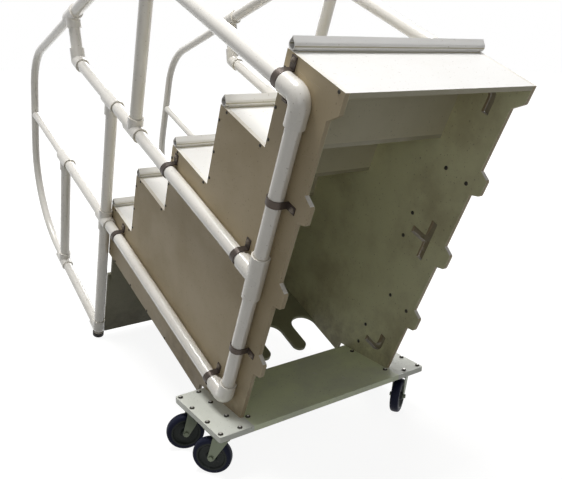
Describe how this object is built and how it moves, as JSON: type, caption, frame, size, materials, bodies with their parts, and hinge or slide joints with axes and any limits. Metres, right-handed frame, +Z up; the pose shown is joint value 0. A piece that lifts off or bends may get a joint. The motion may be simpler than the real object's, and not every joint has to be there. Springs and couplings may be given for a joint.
{
  "type": "pool stair cart",
  "caption": "Portable pool stairs of sheet plastic with bent pipe handrails, parked tilted back on a flat cart plate with swivel casters.",
  "frame": {"origin": "On the floor, under the middle of the whole object's box.", "axes": "+X to the right for a person standing on the treads with their back to the top landing, +Y the way the stairs go down, +Z up."},
  "size_m": [0.9592, 2.364, 1.536],
  "materials": {
    "panel_sheet": "dull grey-white sheet plastic, lightly scuffed",
    "tread_sheet": "off-white sheet plastic, worn smooth",
    "cart_sheet": "grey-white sheet plastic with dirt",
    "white_pipe": "white pipe and fittings with a soft gloss",
    "strap_steel": "dulled steel band",
    "plated_steel": "zinc-plated pressed steel",
    "hub_plastic": "dark grey moulded plastic",
    "tyre_rubber": "dark blue-black soft tread",
    "cap_rubber": "black rubber"
  },
  "bodies": {
    "stairs": {"bottom_plate": "tread_sheet", "bottom_rails": "white_pipe", "cart_plate": "cart_sheet", "caster_plates": "plated_steel", "foot_caps": "cap_rubber", "foot_rails": "white_pipe", "front_posts": "white_pipe", "grab_rails": "white_pipe", "kick_plate": "tread_sheet", "mid_rails": "white_pipe", "pipe_fittings_left": "white_pipe", "pipe_fittings_right": "white_pipe", "pipe_straps_left": "strap_steel", "pipe_straps_right": "strap_steel", "rear_posts": "white_pipe", "riser_1": "tread_sheet", "riser_2": "tread_sheet", "riser_3": "tread_sheet", "riser_4": "tread_sheet", "second_posts": "white_pipe", "short_posts": "white_pipe", "side_panel_left": "panel_sheet", "side_panel_right": "panel_sheet", "sloping_handrails": "white_pipe", "toe_plate": "tread_sheet", "top_rails": "white_pipe", "tread_1": "tread_sheet", "tread_2": "tread_sheet", "tread_3": "tread_sheet", "tread_4": "tread_sheet", "tread_5": "tread_sheet"},
    "swivel_rear_left": {"caster_fork_rear_left": "plated_steel", "caster_axle_rear_left": "plated_steel"},
    "wheel_rear_left": {"wheel_hub_rear_left": "hub_plastic", "wheel_tyre_rear_left": "tyre_rubber"},
    "swivel_rear_right": {"caster_fork_rear_right": "plated_steel", "caster_axle_rear_right": "plated_steel"},
    "wheel_rear_right": {"wheel_hub_rear_right": "hub_plastic", "wheel_tyre_rear_right": "tyre_rubber"},
    "swivel_front_left": {"caster_fork_front_left": "plated_steel", "caster_axle_front_left": "plated_steel"},
    "wheel_front_left": {"wheel_hub_front_left": "hub_plastic", "wheel_tyre_front_left": "tyre_rubber"},
    "swivel_front_right": {"caster_fork_front_right": "plated_steel", "caster_axle_front_right": "plated_steel"},
    "wheel_front_right": {"wheel_hub_front_right": "hub_plastic", "wheel_tyre_front_right": "tyre_rubber"}
  },
  "joints": [
    {"name": "swivel_rear_left", "type": "hinge", "parent": "stairs", "child": "swivel_rear_left", "pos_m": [-0.381, -0.74997, 0.15], "axis": [0, 0, 1], "continuous": true},
    {"name": "roll_rear_left", "type": "hinge", "parent": "swivel_rear_left", "child": "wheel_rear_left", "pos_m": [-0.40834, -0.72357, 0.0635], "axis": [-0.6947, -0.7193, 0], "continuous": true},
    {"name": "swivel_rear_right", "type": "hinge", "parent": "stairs", "child": "swivel_rear_right", "pos_m": [0.381, -0.74997, 0.15], "axis": [0, 0, 1], "continuous": true},
    {"name": "roll_rear_right", "type": "hinge", "parent": "swivel_rear_right", "child": "wheel_rear_right", "pos_m": [0.34877, -0.77011, 0.0635], "axis": [0.5299, -0.848, 0], "continuous": true},
    {"name": "swivel_front_left", "type": "hinge", "parent": "stairs", "child": "swivel_front_left", "pos_m": [-0.381, -0.56597, 0.15], "axis": [0, 0, 1], "continuous": true},
    {"name": "roll_front_left", "type": "hinge", "parent": "swivel_front_left", "child": "wheel_front_left", "pos_m": [-0.41693, -0.5536, 0.0635], "axis": [-0.3256, -0.9455, 0], "continuous": true},
    {"name": "swivel_front_right", "type": "hinge", "parent": "stairs", "child": "swivel_front_right", "pos_m": [0.381, -0.56597, 0.15], "axis": [0, 0, 1], "continuous": true},
    {"name": "roll_front_right", "type": "hinge", "parent": "swivel_front_right", "child": "wheel_front_right", "pos_m": [0.41693, -0.5536, 0.0635], "axis": [-0.3256, 0.9455, 0], "continuous": true}
  ]
}
